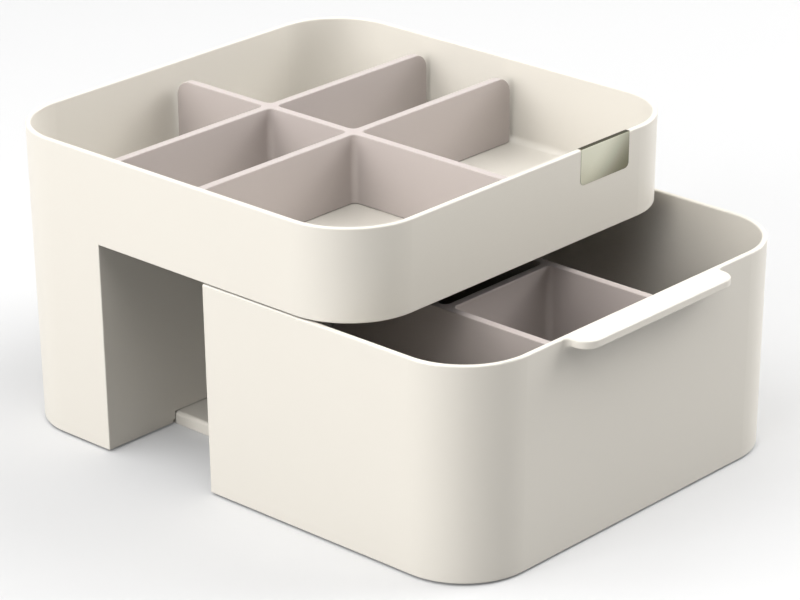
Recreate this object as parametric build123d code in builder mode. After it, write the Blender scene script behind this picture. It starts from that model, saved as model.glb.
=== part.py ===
from build123d import *
from math import radians, tan
import os

# Cosmetics organizer: an open tray on a rear leg, with a drawer that slides out from under the tray.
# The drawer stands partly open, and the origin is on the table, below the middle of the whole.
# +X is to the right along the front, +Y to the back, +Z up. Sizes are in millimetres.

# Casing
casing_width = 175.0          # at the rim, left to right
casing_depth = 175.0          # at the rim, front to back
casing_height = 113.8         # rim above the table
corner_radius = 28.0          # plan corners at the rim
wall_draft = 1.0              # degrees that the walls lean out towards the rim
wall = 2.0
table_gap = 0.8               # from the table to the lower edges of casing and drawer
tray_band = 33.8              # height of the tray's outside
tray_floor_thickness = 2.1
tray_floor_round = 2.5
leg_depth = 52.2              # from the back at the rim to the leg's front wall
rim_round = 0.6
edge_round = 0.4              # on the other outside edges

# Drawer
drawer_open = 50.7            # how far the drawer stands out here
drawer_travel = 95.7          # from closed to its stop
drawer_top_gap = 0.5          # under the tray
drawer_rear_gap = 0.6         # to the leg when closed
drawer_floor_height = 6.6     # underside of the drawer's floor above the table
drawer_floor_thickness = 2.0
drawer_floor_round = 2.5
lip_width = 79.6
lip_reach = 9.0               # beyond the drawer's front
lip_thickness = 3.0
lip_corner = 6.0
lip_root = 2.5
lip_edge = 0.4

# Base plate, with the tongue that guides the drawer
base_thickness = 2.5
base_gap = 0.3                # around the base plate, inside the leg
tongue_width = 105.0
tongue_height = 4.9           # top of the tongue above the table
tongue_past_stop = 2.9        # reach in front of the stop
tongue_root = 8.0             # reach behind the leg's front wall
tongue_corner = 6.0
tongue_table_gap = 0.2        # under the tongue
tongue_edge = 1.5             # round along the tongue's top
tongue_skin = 1.8             # over the tongue's hollow underside
tongue_rib = 2.0
tongue_columns = 4            # hollows across the tongue
tongue_rows = 3               # hollows along the tongue
guide_gap = 0.5               # beside the tongue, to the notch and to the drawer's ribs
guide_rib = 2.0
notch_top_gap = 0.3
relief_width = 1.1            # the notch's wider foot, on each side
relief_height = 1.3
guide_top_gap = 0.5           # from the tongue to the drawer's back
stop_width = 22.0
stop_depth = 3.0
stop_height = 1.2
stop_gap = 0.3                # left between stop and drawer at full travel

# Feet and glides
foot_radius = 5.0
foot_thickness = 1.6
foot_front_side = 9.5         # in from the tongue's side
foot_front_inset = 10.0       # behind the tongue's front
foot_rear_side = 25.5         # in from the casing's side
glide_radius = 4.0
glide_thickness = 1.4
glide_boss_radius = 5.0
glide_side = 17.5             # in from the drawer's side
glide_front_inset = 25.5      # behind the drawer's front
glide_rear_inset = 12.0       # in front of the drawer's back
pad_gap = 0.1                 # around a foot or glide in its seat
pad_edge = 0.3

# Screws that hold the base plate to the leg
screw_side = 25.5             # in from the casing's side
screw_pitch = 28.0
screw_radius = 1.5
screw_head_radius = 2.8
screw_length = 10.0
screw_gap = 0.05
screw_hole_spare = 1.0        # pilot hole beyond the screw's tip
column_radius = 3.6
column_rib = 1.6
recess_width = 0.6
recess_length = 2.8
recess_depth = 0.8

# Badge, folded over the front rim
badge_side = 47.3             # from the casing's right side to the badge's middle
badge_width = 26.3
badge_drop = 13.4             # down the front
badge_reach = 1.8             # over the rim
badge_thickness = 0.6
badge_proud = 0.1
badge_corner = 2.0
badge_fold = 0.2
badge_gap = 0.05

# Dividers
fin = 3.2
fin_end_round = 6.5
fin_foot_round = 1.5
fin_edge_round = 0.4
fin_root_round = 2.3
fin_floor_gap = 0.1
fin_wall_gap = 2.0
tray_fin_drop = 5.4           # tray fins below the rim
tray_fin_inset = 51.4         # from the casing's back to the rear tray fin
tray_fin_pitch = 41.6
drawer_fin_drop = 11.3        # drawer fins below the drawer's rim
drawer_fin_pitch = 54.4
drawer_web_inset = 64.7       # from the drawer's front to the web

# Worked out from the sizes above
lean = tan(radians(wall_draft))
tray_underside = casing_height - tray_band
tray_floor = tray_underside + tray_floor_thickness
drawer_top = tray_underside - drawer_top_gap
drawer_floor = drawer_floor_height + drawer_floor_thickness
lip_lean = lean * (casing_height - drawer_top)
casing_y = (drawer_open + lip_reach - lip_lean) / 2       # middle of the casing's plan
drawer_y = casing_y - drawer_open                         # middle of the drawer's plan
casing_back = casing_y + casing_depth / 2
casing_front = casing_y - casing_depth / 2
drawer_front = drawer_y - casing_depth / 2
leg_front = casing_back - leg_depth
drawer_back_closed = leg_front - drawer_rear_gap
drawer_back = drawer_back_closed - drawer_open
base_top = table_gap + base_thickness
stop_back = drawer_back_closed - wall - drawer_travel - stop_gap
tongue_front = stop_back - stop_depth - tongue_past_stop
badge_x = casing_width / 2 - badge_side
past = 1.0                    # how far a cut runs past a face
near = 0.2                    # how far from a face its edges are looked for
far = 2 * (casing_width + casing_depth)


# How much each side of the casing is drawn in at a height, against the rim
def drawn_in(height):
    return lean * (casing_height - height)


# The plan of casing or drawer at a height, inset from the outside, in the sketch in hand
def moulding_plan(middle_y, height, inset=0.0):
    side = inset + drawn_in(height)
    with Locations((0, middle_y)):
        RectangleRounded(casing_width - 2 * side, casing_depth - 2 * side, corner_radius - side)


# Keeps only what lies behind y, or in front of it, in the sketch in hand
def keep_behind(y):
    with Locations((0, y)):
        Rectangle(far, far, align=(Align.CENTER, Align.MIN), mode=Mode.INTERSECT)


def keep_in_front(y):
    with Locations((0, y)):
        Rectangle(far, far, align=(Align.CENTER, Align.MAX), mode=Mode.INTERSECT)


# The tongue's plan, inset from its sides and front
def tongue_plan(inset=0.0):
    back = leg_front + wall + tongue_root
    with BuildSketch(mode=Mode.PRIVATE) as plan:
        with Locations((0, back)):
            length = back - tongue_front - inset
            Rectangle(tongue_width - 2 * inset, length, align=(Align.CENTER, Align.MAX))
        fillet(plan.vertices().group_by(Axis.Y)[0], tongue_corner - inset)
    return plan.sketch


# True for an edge that runs up from the table side to the top of its part
def spans_height(edge):
    return edge.bounding_box().size.Z > drawer_top / 2


# A fin between two ends, standing on a vertical plane through its middle
def add_fin(plane, ends, bottom, top, rounded=True):
    with BuildSketch(plane) as side:
        with Locations((sum(ends) / 2, (bottom + top) / 2)):
            Rectangle(ends[1] - ends[0], top - bottom)
        if rounded:
            fillet(side.vertices().group_by(Axis.Y)[-1], fin_end_round)
            fillet(side.vertices().group_by(Axis.Y)[0], fin_foot_round)
    extrude(side.sketch, amount=fin / 2, both=True)


# Rounds the upright corners where fins meet, then all their top edges
def round_fins(divider, top):
    fillet(divider.edges().filter_by(Axis.Z).group_by(SortBy.LENGTH)[-1], fin_root_round)
    at_top = divider.edges().filter_by_position(Axis.Z, top - near, top)
    long_edges = at_top.filter_by(GeomType.LINE).filter_by(lambda edge: edge.length > fin + past)
    fillet(long_edges, fin_edge_round)


# The badge's folded plate, from outside the casing's skin to inside it
def folded_plate(outside, inside, grow):
    foot = casing_height - badge_drop - grow
    foot_face = casing_front + drawn_in(foot)
    back = casing_front + badge_reach + grow
    with BuildPart() as plate:
        with BuildSketch(Plane.YZ.offset(badge_x)):
            with BuildLine():
                Polyline(
                    (casing_front - outside, casing_height + outside),
                    (foot_face - outside, foot),
                    (foot_face + inside, foot),
                    (casing_front + inside, casing_height - inside),
                    (back, casing_height - inside),
                    (back, casing_height + outside),
                    close=True,
                )
            make_face()
        extrude(amount=badge_width / 2 + grow, both=True)
        fillet(plate.edges().filter_by(Axis.Y).group_by(Axis.Z)[0], badge_corner + grow)
    return plate.part


leg_middle = (leg_front + casing_back - drawn_in(table_gap)) / 2
corners = {"front_left": (-1, -1), "front_right": (1, -1), "rear_left": (-1, 1), "rear_right": (1, 1)}
screw_x = casing_width / 2 - screw_side
screw_places = {
    name: (side * screw_x, leg_middle + end * screw_pitch / 2) for name, (side, end) in corners.items()
}
front_foot = (tongue_width / 2 - foot_front_side, tongue_front + foot_front_inset)
rear_foot = (casing_width / 2 - foot_rear_side, leg_middle)
front_glide = (casing_width / 2 - glide_side, drawer_front + glide_front_inset)
rear_glide = (casing_width / 2 - glide_side, drawer_back - glide_rear_inset)


# One place for each corner, from a right-hand place at the front and one at the rear
def four_places(front, rear):
    ends = {-1: front, 1: rear}
    return {name: (side * ends[end][0], ends[end][1]) for name, (side, end) in corners.items()}


foot_places = four_places(front_foot, rear_foot)
glide_places = four_places(front_glide, rear_glide)

os.makedirs("parts", exist_ok=True)


# Labels a finished piece and writes its file
def save(piece, name):
    piece.label = name
    export_step(piece, f"parts/{name}.step")


# Casing: tray, leg and drawer bay in one shell
with BuildPart() as casing:
    with BuildSketch(Plane.XY.offset(table_gap)):
        moulding_plan(casing_y, table_gap)
    extrude(amount=casing_height - table_gap, taper=-wall_draft)

    # the drawer's bay, open at the front and on both sides
    with BuildSketch(Plane.XY.offset(table_gap - past)):
        with Locations((0, leg_front)):
            Rectangle(far, far, align=(Align.CENTER, Align.MAX))
    extrude(amount=tray_underside - table_gap + past, mode=Mode.SUBTRACT)
    band = casing.edges().filter_by_position(Axis.Z, tray_underside - near, tray_underside + near)
    band = band.filter_by(lambda edge: edge.center().Y < leg_front - near)
    lower = casing.edges().filter_by_position(Axis.Z, table_gap - near, table_gap + near)
    upright = casing.edges().filter_by_position(Axis.Y, leg_front - near, leg_front + near)
    upright = upright.filter_by(lambda edge: abs(edge.center().X) > tongue_width / 2)
    fillet(band + lower + upright.filter_by(spans_height), edge_round)

    # the tray's inside
    with BuildSketch(Plane.XY.offset(tray_floor)):
        moulding_plan(casing_y, tray_floor, wall)
    extrude(amount=casing_height - tray_floor, taper=-wall_draft, mode=Mode.SUBTRACT)
    fillet(casing.edges().filter_by_position(Axis.Z, tray_floor - near, tray_floor + near), tray_floor_round)
    fillet(casing.edges().filter_by_position(Axis.Z, casing_height - near, casing_height), rim_round)

    # the leg's inside, with four screw columns tied to the side walls
    with BuildSketch(Plane.XY.offset(table_gap)):
        moulding_plan(casing_y, table_gap, wall)
        keep_behind(leg_front + wall)
        for x, y in screw_places.values():
            with Locations((x, y)):
                Circle(column_radius, mode=Mode.SUBTRACT)
                reach = (Align.MIN if x > 0 else Align.MAX, Align.CENTER)
                Rectangle(casing_width, column_rib, align=reach, mode=Mode.SUBTRACT)
    extrude(amount=tray_underside - table_gap, mode=Mode.SUBTRACT)

    # seat for the base plate
    with BuildSketch(Plane.XY.offset(table_gap)):
        moulding_plan(casing_y, table_gap, wall)
        keep_behind(leg_front + wall)
    extrude(amount=base_thickness, mode=Mode.SUBTRACT)

    # pilot holes, from the columns' ends
    with BuildSketch(Plane.XY.offset(base_top)):
        with Locations(*screw_places.values()):
            Circle(screw_radius + screw_gap)
    extrude(amount=screw_length - base_thickness + screw_hole_spare, mode=Mode.SUBTRACT)

    # notch in the leg's front wall for the tongue, with a wider foot
    for spare, top in ((0, tongue_height + notch_top_gap), (relief_width, table_gap + relief_height)):
        with BuildSketch(Plane.XY.offset(table_gap - past)):
            with Locations((0, leg_front - past)):
                notch = (tongue_width + 2 * (guide_gap + spare), wall + 2 * past)
                Rectangle(*notch, align=(Align.CENTER, Align.MIN))
        extrude(amount=top - table_gap + past, mode=Mode.SUBTRACT)

    # seat for the badge
    add(folded_plate(past, badge_thickness - badge_proud + badge_gap, badge_gap), mode=Mode.SUBTRACT)
save(casing.part, "casing")


# Base plate: closes the leg and runs forward as the drawer's guide
with BuildPart() as base_plate:
    with BuildSketch(Plane.XY.offset(tongue_table_gap)):
        add(tongue_plan())
    extrude(amount=tongue_height - tongue_table_gap)
    fillet(base_plate.edges().group_by(Axis.Z)[-1], tongue_edge)
    with BuildSketch(Plane.XY.offset(table_gap)):
        moulding_plan(casing_y, table_gap, wall + base_gap)
        keep_behind(leg_front + wall + base_gap)
    extrude(amount=base_thickness)

    # the stop that the drawer's back meets at full travel
    with BuildSketch(Plane.XY.offset(tongue_height)):
        with Locations((0, stop_back)):
            Rectangle(stop_width, stop_depth, align=(Align.CENTER, Align.MAX))
    extrude(amount=stop_height)
    front_top = base_plate.edges().filter_by(Axis.X).group_by(Axis.Z)[-1].sort_by(Axis.Y)[0]
    chamfer(front_top, stop_height / 2)

    # hollows in the tongue's underside, with solid ground round the front feet
    inner_width = tongue_width - tongue_rib
    inner_length = leg_front - tongue_front - tongue_rib
    pitch = (inner_width / tongue_columns, inner_length / tongue_rows)
    with BuildSketch(Plane.XY.offset(tongue_table_gap)):
        with Locations((0, (leg_front + tongue_front) / 2)):
            with GridLocations(*pitch, tongue_columns, tongue_rows):
                Rectangle(pitch[0] - tongue_rib, pitch[1] - tongue_rib)
        add(tongue_plan(tongue_rib), mode=Mode.INTERSECT)
        with Locations(foot_places["front_left"], foot_places["front_right"]):
            Circle(foot_radius + tongue_rib, mode=Mode.SUBTRACT)
    extrude(amount=tongue_height - tongue_table_gap - tongue_skin, mode=Mode.SUBTRACT)

    # seats for the feet
    with BuildSketch():
        with Locations(*foot_places.values()):
            Circle(foot_radius + pad_gap)
    extrude(amount=foot_thickness, mode=Mode.SUBTRACT)

    # countersunk screw holes
    with BuildSketch(Plane.XY.offset(table_gap)):
        with Locations(*screw_places.values()):
            Circle(screw_radius + screw_gap)
    extrude(amount=base_thickness, mode=Mode.SUBTRACT)
    with BuildSketch(Plane.XY.offset(table_gap)):
        with Locations(*screw_places.values()):
            Circle(screw_head_radius + screw_gap)
    extrude(amount=screw_head_radius - screw_radius, taper=45, mode=Mode.SUBTRACT)
save(base_plate.part, "base_plate")


# Rubber feet, set into the base plate
for place, (x, y) in foot_places.items():
    with BuildPart() as foot:
        with BuildSketch(Plane((x, y, 0))):
            Circle(foot_radius)
        extrude(amount=foot_thickness)
        fillet(foot.edges().group_by(Axis.Z)[0], pad_edge)
    save(foot.part, f"casing_foot_{place}")


# Countersunk self-tapping screws, heads down
for place, (x, y) in screw_places.items():
    with BuildPart() as screw:
        with BuildSketch(Plane((x, y, table_gap + screw_gap))):
            Circle(screw_head_radius)
        extrude(amount=screw_head_radius - screw_radius, taper=45)
        with BuildSketch(Plane((x, y, table_gap + screw_gap))):
            Circle(screw_radius)
        extrude(amount=screw_length)
        chamfer(screw.edges().group_by(Axis.Z)[-1], screw_radius / 2)
        with BuildSketch(Plane((x, y, table_gap + screw_gap))):
            Rectangle(recess_length, recess_width)
            Rectangle(recess_width, recess_length)
        extrude(amount=recess_depth, mode=Mode.SUBTRACT)
    save(screw.part, f"base_screw_{place}")


# Badge: a bare plate, folded over the rim
badge = folded_plate(badge_proud, badge_thickness - badge_proud, 0)
with BuildPart() as badge_plate:
    add(badge)
    fold = badge_plate.edges().filter_by(Axis.X).group_by(Axis.Z)[-1].sort_by(Axis.Y)[0]
    fillet(fold, badge_fold)
save(badge_plate.part, "badge")


# Drawer: same plan as the casing, cut square at the back, with a finger lip on its rim
with BuildPart() as drawer:
    with BuildSketch(Plane.XY.offset(table_gap)):
        moulding_plan(drawer_y, table_gap)
    extrude(amount=drawer_top - table_gap, taper=-wall_draft)
    with BuildSketch(Plane.XY.offset(table_gap - past)):
        with Locations((0, drawer_back)):
            Rectangle(far, far, align=(Align.CENTER, Align.MIN))
    extrude(amount=casing_height, mode=Mode.SUBTRACT)
    lower = drawer.edges().filter_by_position(Axis.Z, table_gap - near, table_gap + near)
    upright = drawer.edges().filter_by_position(Axis.Y, drawer_back - near, drawer_back + near)
    fillet(lower + upright.filter_by(spans_height), edge_round)

    # finger lip, one piece with the rim
    front = drawer_front + lip_lean
    with BuildSketch(Plane.XY.offset(drawer_top - lip_thickness)) as lip:
        with Locations((0, front - lip_reach)):
            Rectangle(lip_width, lip_reach + wall / 2, align=(Align.CENTER, Align.MIN))
        fillet(lip.vertices().group_by(Axis.Y)[0], lip_corner)
    extrude(amount=lip_thickness)
    under = drawer.edges().filter_by_position(Axis.Y, front - lip_reach - near, front - near)
    lip_underside = drawer_top - lip_thickness
    fillet(under.filter_by_position(Axis.Z, lip_underside - near, lip_underside + near), lip_edge)
    roots = drawer.edges().filter_by_position(Axis.Y, front - near, front + near)
    roots = roots.filter_by(lambda edge: abs(abs(edge.center().X) - lip_width / 2) < near)
    fillet(roots, lip_root)

    # the inside, down to the raised floor
    back_inside = drawer_back - wall - lean * (drawer_top - drawer_floor)
    with BuildSketch(Plane.XY.offset(drawer_floor)):
        moulding_plan(drawer_y, drawer_floor, wall)
        keep_in_front(back_inside)
    extrude(amount=drawer_top - drawer_floor, taper=-wall_draft, mode=Mode.SUBTRACT)

    # space under the floor, with ribs beside the tongue and bosses for the glides
    with BuildSketch(Plane.XY.offset(table_gap)):
        moulding_plan(drawer_y, table_gap, wall)
        keep_in_front(drawer_back - wall)
        for side in (-1, 1):
            with Locations((side * (tongue_width / 2 + guide_gap), 0)):
                inner = Align.MIN if side > 0 else Align.MAX
                Rectangle(guide_rib, far, align=(inner, Align.CENTER), mode=Mode.SUBTRACT)
        with Locations(*glide_places.values()):
            Circle(glide_boss_radius, mode=Mode.SUBTRACT)
    extrude(amount=drawer_floor_height - table_gap, mode=Mode.SUBTRACT)

    # notch in the back for the tongue
    with BuildSketch(Plane.XY.offset(table_gap - past)):
        with Locations((0, drawer_back + past)):
            notch = (tongue_width + 2 * guide_gap, wall + 2 * past)
            Rectangle(*notch, align=(Align.CENTER, Align.MAX))
    extrude(amount=tongue_height + guide_top_gap - table_gap + past, mode=Mode.SUBTRACT)

    # seats for the glides
    with BuildSketch(Plane.XY.offset(table_gap)):
        with Locations(*glide_places.values()):
            Circle(glide_radius + pad_gap)
    extrude(amount=glide_thickness - table_gap, mode=Mode.SUBTRACT)

    # rounded edges
    floor_edge = drawer.edges().filter_by_position(Axis.Z, drawer_floor - near, drawer_floor + near)
    fillet(floor_edge, drawer_floor_round)
    fillet(drawer.edges().filter_by_position(Axis.Z, drawer_top - near, drawer_top), rim_round)
save(drawer.part, "drawer")


# Low-friction glides under the drawer
for place, (x, y) in glide_places.items():
    with BuildPart() as glide:
        with BuildSketch(Plane((x, y, 0))):
            Circle(glide_radius)
        extrude(amount=glide_thickness)
        fillet(glide.edges().group_by(Axis.Z)[0], pad_edge)
    save(glide.part, f"drawer_glide_{place}")


# Tray divider: one fin front to back, crossed by two
fin_half_x = casing_width / 2 - drawn_in(tray_floor) - wall - fin_wall_gap
fin_half_y = casing_depth / 2 - drawn_in(tray_floor) - wall - fin_wall_gap
fin_bottom = tray_floor + fin_floor_gap
fin_top = casing_height - tray_fin_drop
rear_fin_y = casing_back - tray_fin_inset
with BuildPart() as tray_divider:
    add_fin(Plane.YZ, (casing_y - fin_half_y, casing_y + fin_half_y), fin_bottom, fin_top)
    for y in (rear_fin_y, rear_fin_y - tray_fin_pitch):
        add_fin(Plane.XZ.offset(-y), (-fin_half_x, fin_half_x), fin_bottom, fin_top)
    round_fins(tray_divider, fin_top)
save(tray_divider.part, "tray_divider")


# Drawer divider: two fins front to back, with one web between them
fin_bottom = drawer_floor + fin_floor_gap
fin_top = drawer_top - drawer_fin_drop
fin_front = drawer_front + drawn_in(drawer_floor) + wall + fin_wall_gap
fin_back = back_inside - fin_wall_gap
fin_x = drawer_fin_pitch / 2
web_y = drawer_front + drawer_web_inset
with BuildPart() as drawer_divider:
    for x in (-fin_x, fin_x):
        add_fin(Plane.YZ.offset(x), (fin_front, fin_back), fin_bottom, fin_top)
    add_fin(Plane.XZ.offset(-web_y), (-fin_x, fin_x), fin_bottom, fin_top, rounded=False)
    round_fins(drawer_divider, fin_top)
save(drawer_divider.part, "drawer_divider")
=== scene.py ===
from math import radians

import bpy
from mathutils import Euler, Matrix, Vector


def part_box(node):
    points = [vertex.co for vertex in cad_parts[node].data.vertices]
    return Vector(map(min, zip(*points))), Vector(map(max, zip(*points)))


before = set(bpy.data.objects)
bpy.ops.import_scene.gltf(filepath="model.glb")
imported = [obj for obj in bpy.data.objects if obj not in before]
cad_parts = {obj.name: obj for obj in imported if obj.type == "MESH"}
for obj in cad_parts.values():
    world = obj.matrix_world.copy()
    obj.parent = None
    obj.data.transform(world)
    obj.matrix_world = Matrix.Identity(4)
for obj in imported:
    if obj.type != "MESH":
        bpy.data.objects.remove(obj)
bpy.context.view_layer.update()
print("frame loaded:", len(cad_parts), "nodes")

# Sizes are in metres, in the frame of the CAD: +X right along the front, +Y back, +Z up, table at 0.
mm = 0.001
noiseMiddle = 0.5                # a noise node's values lie evenly on both sides of this
white = (1, 1, 1, 1)

# The sockets of a Mix node that mixes colours: its share, its two colours and its colour output
mixShare = 0
mixFirst = 6
mixSecond = 7
mixOut = 2


# A node's output as a value: sums written with it add Math nodes
class Value:
    def __init__(self, board, socket):
        self.board = board
        self.socket = socket

    def maths(self, operation, first, second):
        return self.board.add("ShaderNodeMath", {"operation": operation}, {0: first, 1: second})

    def __add__(self, other):
        return self.maths("ADD", self, other)

    def __radd__(self, other):
        return self.maths("ADD", other, self)

    def __sub__(self, other):
        return self.maths("SUBTRACT", self, other)

    def __rsub__(self, other):
        return self.maths("SUBTRACT", other, self)

    def __mul__(self, other):
        return self.maths("MULTIPLY", self, other)

    def __rmul__(self, other):
        return self.maths("MULTIPLY", other, self)


# A node tree that materials and the world are drawn on
class Board:
    def __init__(self, owner):
        owner.use_nodes = True
        self.tree = owner.node_tree
        self.tree.nodes.clear()

    # Adds one node: its settings first, then the values or links of its sockets
    def add(self, kind, settings=None, sockets=None, out=0):
        node = self.tree.nodes.new(kind)
        for name, setting in (settings or {}).items():
            setattr(node, name, setting)
        for name, given in (sockets or {}).items():
            if isinstance(given, Value):
                self.tree.links.new(given.socket, node.inputs[name])
            else:
                node.inputs[name].default_value = given
        return Value(self, node.outputs[out]) if len(node.outputs) else None

    def mixColour(self, share, first, second):
        first, second = (c if isinstance(c, Value) else (*c, 1) for c in (first, second))
        sockets = {mixShare: share, mixFirst: first, mixSecond: second}
        return self.add("ShaderNodeMix", {"data_type": "RGBA"}, sockets, out=mixOut)

    def place(self):
        return self.add("ShaderNodeTexCoord", out="Object")

    def along(self, vector, axis):
        return self.add("ShaderNodeSeparateXYZ", None, {"Vector": vector}, out=axis)

    # Climbs smoothly from 0 to 1 between two values
    def climb(self, value, low, high):
        sockets = {"Value": value, "From Min": low, "From Max": high}
        return self.add("ShaderNodeMapRange", {"interpolation_type": "SMOOTHSTEP"}, sockets)

    def larger(self, first, second):
        return self.add("ShaderNodeMath", {"operation": "MAXIMUM"}, {0: first, 1: second})

    def noise(self, place, size, detail, rough=0.5):
        sockets = {"Vector": place, "Scale": 1 / size, "Detail": detail, "Roughness": rough}
        return self.add("ShaderNodeTexNoise", {"normalize": True}, sockets, out="Fac")

    def bump(self, height, depth):
        return self.add("ShaderNodeBump", None, {"Height": height, "Distance": depth, "Strength": 1.0})

    def finish(self, sockets):
        shader = self.add("ShaderNodeBsdfPrincipled", None, sockets)
        self.add("ShaderNodeOutputMaterial", None, {"Surface": shader})


# Gives CAD pieces a material, in place of the one they came with
def dress(names, material):
    for name in names:
        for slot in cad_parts[name].material_slots:
            slot.material = material


# Moulded plastic or rubber, with a fine eroded texture and a slow drift of tone
moulding = {"driftDetail": 1.0, "grainDetail": 3.0, "grainRough": 0.6, "hazeDetail": 4.0}


def mouldedPlastic(name, look):
    material = bpy.data.materials.new(name)
    board = Board(material)
    place = board.place()
    drift = board.noise(place, look["driftSize"], moulding["driftDetail"])
    grain = board.noise(place, look["grainSize"], moulding["grainDetail"], moulding["grainRough"])
    haze = board.noise(place, look["hazeSize"], moulding["hazeDetail"])
    board.finish({
        "Base Color": board.mixColour(drift, look["colour"], look["shade"]),
        "Roughness": look["roughness"] + look["roughnessSpread"] * (haze - noiseMiddle),
        "Normal": board.bump(grain, look["grainDepth"]),
        "IOR": look["ior"],
    })
    return material


# Casing, base plate and drawer
shellLook = {
    "colour": (0.818, 0.777, 0.698),
    "shade": (0.806, 0.763, 0.684),
    "driftSize": 70 * mm,
    "roughness": 0.40,
    "roughnessSpread": 0.08,
    "hazeSize": 9 * mm,
    "grainSize": 0.45 * mm,
    "grainDepth": 0.006 * mm,
    "ior": 1.46,
}
ivory = mouldedPlastic("ivoryPlastic", shellLook)
dress(["casing", "base_plate", "drawer"], ivory)
print("shell dressed")

# The two dividers
dividerLook = {
    "colour": (0.580, 0.514, 0.486),
    "shade": (0.564, 0.499, 0.472),
    "driftSize": 60 * mm,
    "roughness": 0.46,
    "roughnessSpread": 0.08,
    "hazeSize": 7 * mm,
    "grainSize": 0.45 * mm,
    "grainDepth": 0.006 * mm,
    "ior": 1.46,
}
mauve = mouldedPlastic("mauvePlastic", dividerLook)
dress(["tray_divider", "drawer_divider"], mauve)
print("dividers dressed")

corners = ("front_left", "front_right", "rear_left", "rear_right")

# Glides under the drawer: waxy, slightly worn
glideLook = {
    "colour": (0.78, 0.78, 0.75),
    "shade": (0.66, 0.65, 0.62),
    "driftSize": 4 * mm,
    "roughness": 0.34,
    "roughnessSpread": 0.20,
    "hazeSize": 1.2 * mm,
    "grainSize": 0.25 * mm,
    "grainDepth": 0.010 * mm,
    "ior": 1.38,
}
waxy = mouldedPlastic("waxyGlide", glideLook)
dress([f"drawer_glide_{corner}" for corner in corners], waxy)

# Feet under the base plate: grey rubber
footLook = {
    "colour": (0.22, 0.215, 0.205),
    "shade": (0.17, 0.166, 0.158),
    "driftSize": 5 * mm,
    "roughness": 0.78,
    "roughnessSpread": 0.15,
    "hazeSize": 1.5 * mm,
    "grainSize": 0.3 * mm,
    "grainDepth": 0.020 * mm,
    "ior": 1.5,
}
rubber = mouldedPlastic("greyRubber", footLook)
dress([f"casing_foot_{corner}" for corner in corners], rubber)
print("feet and glides dressed")


# Badge: satin nickel, with a painted reflection that darkens it towards its lower right corner, and a
# painted dark reflection on the fold over the rim
badgeLook = {
    "bright": (0.59, 0.587, 0.485),
    "paintedReflectionDark": (0.155, 0.148, 0.104),
    "fold": (0.045, 0.041, 0.030),
    "grazing": (0.84, 0.82, 0.72),   # tint of what it mirrors at a low angle
    "paintedDarkAcross": 0.95,             # how much the painted reflection darkens the badge across it, and down it
    "paintedDarkDown": 0.5,
    "paintedDarkFrom": 0.42,
    "paintedDarkTo": 1.38,
    "foldFrom": 0.15,                # how far the surface must face up to count as the fold, where a dark reflection is painted
    "foldTo": 0.6,
    "grainSize": 0.20 * mm,
    "grainDetail": 3.0,
    "grainRough": 0.6,
    "grainTone": 0.14,
    "grainDepth": 0.004 * mm,
    "roughness": 0.32,
    "roughnessSpread": 0.16,
}


def makeBadgeMetal(look):
    material = bpy.data.materials.new("satinNickel")
    board = Board(material)
    place = board.place()
    low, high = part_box("badge")
    across = (board.along(place, "X") - low.x) * (1 / (high.x - low.x))
    down = (high.z - board.along(place, "Z")) * (1 / (high.z - low.z))
    # painted reflection: the face's colour darkens towards its right and its bottom, with the real grain
    # added on
    paintedReflectionAndGrain = look["paintedDarkAcross"] * across + look["paintedDarkDown"] * down
    grain = board.noise(place, look["grainSize"], look["grainDetail"], look["grainRough"]) - noiseMiddle
    paintedReflectionAndGrain = board.climb(paintedReflectionAndGrain, look["paintedDarkFrom"], look["paintedDarkTo"]) + look["grainTone"] * grain
    faceWithPaintedReflection = board.mixColour(paintedReflectionAndGrain, look["bright"], look["paintedReflectionDark"])
    # painted dark reflection on the parts that face up, the fold over the rim
    facing = board.add("ShaderNodeTexCoord", out="Normal")
    folded = board.climb(board.along(facing, "Z"), look["foldFrom"], look["foldTo"])
    board.finish({
        "Base Color": board.mixColour(folded, faceWithPaintedReflection, look["fold"]),
        "Specular Tint": (*look["grazing"], 1),
        "Metallic": 1.0,
        "Roughness": look["roughness"] + look["roughnessSpread"] * grain,
        "Normal": board.bump(grain, look["grainDepth"]),
    })
    return material


nickel = makeBadgeMetal(badgeLook)
dress(["badge"], nickel)

# Screws under the base plate: zinc-plated steel with a cloudy passivated skin
screwLook = {
    "colour": (0.56, 0.57, 0.58),
    "shade": (0.44, 0.45, 0.44),
    "cloudSize": 1.5 * mm,
    "cloudDetail": 3.0,
    "grainSize": 0.3 * mm,
    "grainDetail": 4.0,
    "grainRough": 0.65,
    "grainDepth": 0.006 * mm,
    "roughness": 0.36,
    "roughnessSpread": 0.15,
}


def makeScrewMetal(look):
    material = bpy.data.materials.new("zincSteel")
    board = Board(material)
    place = board.place()
    cloud = board.noise(place, look["cloudSize"], look["cloudDetail"])
    grain = board.noise(place, look["grainSize"], look["grainDetail"], look["grainRough"])
    board.finish({
        "Base Color": board.mixColour(cloud, look["colour"], look["shade"]),
        "Metallic": 1.0,
        "Roughness": look["roughness"] + look["roughnessSpread"] * (grain - noiseMiddle),
        "Normal": board.bump(grain, look["grainDepth"]),
    })
    return material


zinc = makeScrewMetal(screwLook)
dress([f"base_screw_{corner}" for corner in corners], zinc)
print("metal dressed")


# 1 where the camera looks, straight or in a mirror or through glass, and 0 for light that falls on things
def seenShare(board):
    seen = board.add("ShaderNodeLightPath", out="Is Camera Ray")
    for way in ("Is Glossy Ray", "Is Transmission Ray"):
        seen = board.larger(seen, board.add("ShaderNodeLightPath", out=way))
    return seen


# The table: pale to the eye and in mirrors, and greyer in the light that it throws back
tableLook = {
    "size": 6.0,
    "seen": (0.65, 0.65, 0.65),
    "thrown": (0.30, 0.30, 0.30),
    "glow": 0.10,
}


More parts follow.
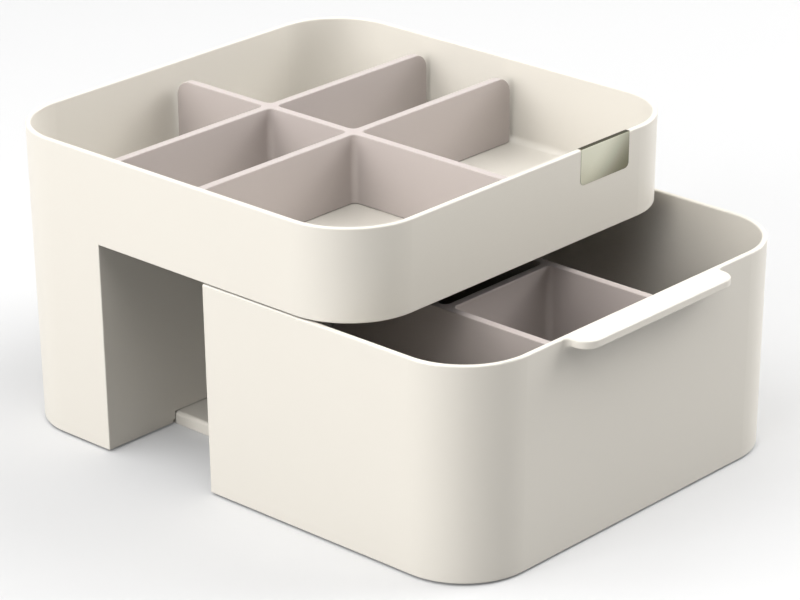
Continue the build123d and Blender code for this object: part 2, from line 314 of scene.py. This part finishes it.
def makeTable(look):
    half = look["size"] / 2
    mesh = bpy.data.meshes.new("table")
    outline = [(-half, -half, 0), (half, -half, 0), (half, half, 0), (-half, half, 0)]
    mesh.from_pydata(outline, [], [range(len(outline))])
    table = bpy.data.objects.new("table", mesh)
    bpy.context.scene.collection.objects.link(table)
    material = bpy.data.materials.new("paleTable")
    board = Board(material)
    seen = seenShare(board)
    colour = board.mixColour(seen, look["thrown"], look["seen"])
    diffuse = board.add("ShaderNodeBsdfDiffuse", None, {"Color": colour})
    glow = board.add("ShaderNodeEmission", None, {"Color": white, "Strength": look["glow"] * seen})
    both = board.add("ShaderNodeAddShader", None, {0: diffuse, 1: glow})
    board.add("ShaderNodeOutputMaterial", None, {"Surface": both})
    mesh.materials.append(material)


makeTable(tableLook)
print("table laid")


# The room is white to the eye and in reflections, and gives no light of its own
def makeWorld():
    world = bpy.data.worlds.new("whiteRoom")
    bpy.context.scene.world = world
    board = Board(world)
    light = board.add("ShaderNodeBackground", None, {"Color": white, "Strength": seenShare(board)})
    board.add("ShaderNodeOutputWorld", None, {"Surface": light})


# Soft square lamps on a dome, all facing its middle: turned from +X towards +Y and raised, in degrees
dome = {"radius": 2.0, "middle": (0, 0, 0.06), "lampSize": 1.4}
lamps = {
    "left": {"turn": 180, "raised": 15, "power": 23.9},
    "leftBehind": {"turn": 150, "raised": 15, "power": 8.8},
    "backLeft": {"turn": 120, "raised": 42, "power": 11.2},
    "highLeft": {"turn": 180, "raised": 42, "power": 3.3},
    "right": {"turn": 330, "raised": 15, "power": 20.4},
    "frontRight": {"turn": 330, "raised": 42, "power": 24.1},
    "topFrontLeft": {"turn": 225, "raised": 66, "power": 15.1},
    "topBackLeft": {"turn": 135, "raised": 66, "power": 8.4},
    "topBackRight": {"turn": 45, "raised": 66, "power": 6.5},
}


def makeLamp(name, lamp):
    data = bpy.data.lights.new(name, "AREA")
    data.shape = "SQUARE"
    data.size = dome["lampSize"]
    data.energy = lamp["power"]
    piece = bpy.data.objects.new(name, data)
    bpy.context.scene.collection.objects.link(piece)
    way = Euler((0, radians(-lamp["raised"]), radians(lamp["turn"]))).to_matrix() @ Vector((1, 0, 0))
    piece.location = Vector(dome["middle"]) + dome["radius"] * way
    piece.rotation_euler = (-way).to_track_quat("-Z", "Y").to_euler()
    piece.visible_camera = False


makeWorld()
for name, lamp in lamps.items():
    makeLamp(name, lamp)
print("lit")

# The camera stands where the photograph's edges say that it stood
cameraLook = {
    "place": (-0.83328, -0.76342, 0.52050),
    "turn": 47.417,              # degrees from +Y towards +X
    "tilt": 22.589,              # degrees down
    "roll": -0.340,
    "focalPixels": 3434.2,
    "framePixels": 800,
    "sensor": 36.0,              # its width, in millimetres as Blender counts it
    "nearest": 0.05,             # what it sees begins and ends at these distances
    "furthest": 20,
}


def makeCamera(look):
    data = bpy.data.cameras.new("camera")
    data.sensor_width = look["sensor"]
    data.lens = look["focalPixels"] / look["framePixels"] * look["sensor"]
    data.clip_start = look["nearest"]
    data.clip_end = look["furthest"]
    camera = bpy.data.objects.new("camera", data)
    bpy.context.scene.collection.objects.link(camera)
    facing = Euler((radians(90 - look["tilt"]), 0, radians(-look["turn"]))).to_matrix()
    facing = facing @ Matrix.Rotation(radians(look["roll"]), 3, "Z")
    camera.matrix_world = Matrix.Translation(look["place"]) @ facing.to_4x4()
    bpy.context.scene.camera = camera


makeCamera(cameraLook)
bpy.context.scene.view_settings.view_transform = "Standard"
bpy.context.scene.cycles.diffuse_bounces = 1     # with more, the drawer's inside gets too light
print("camera set")
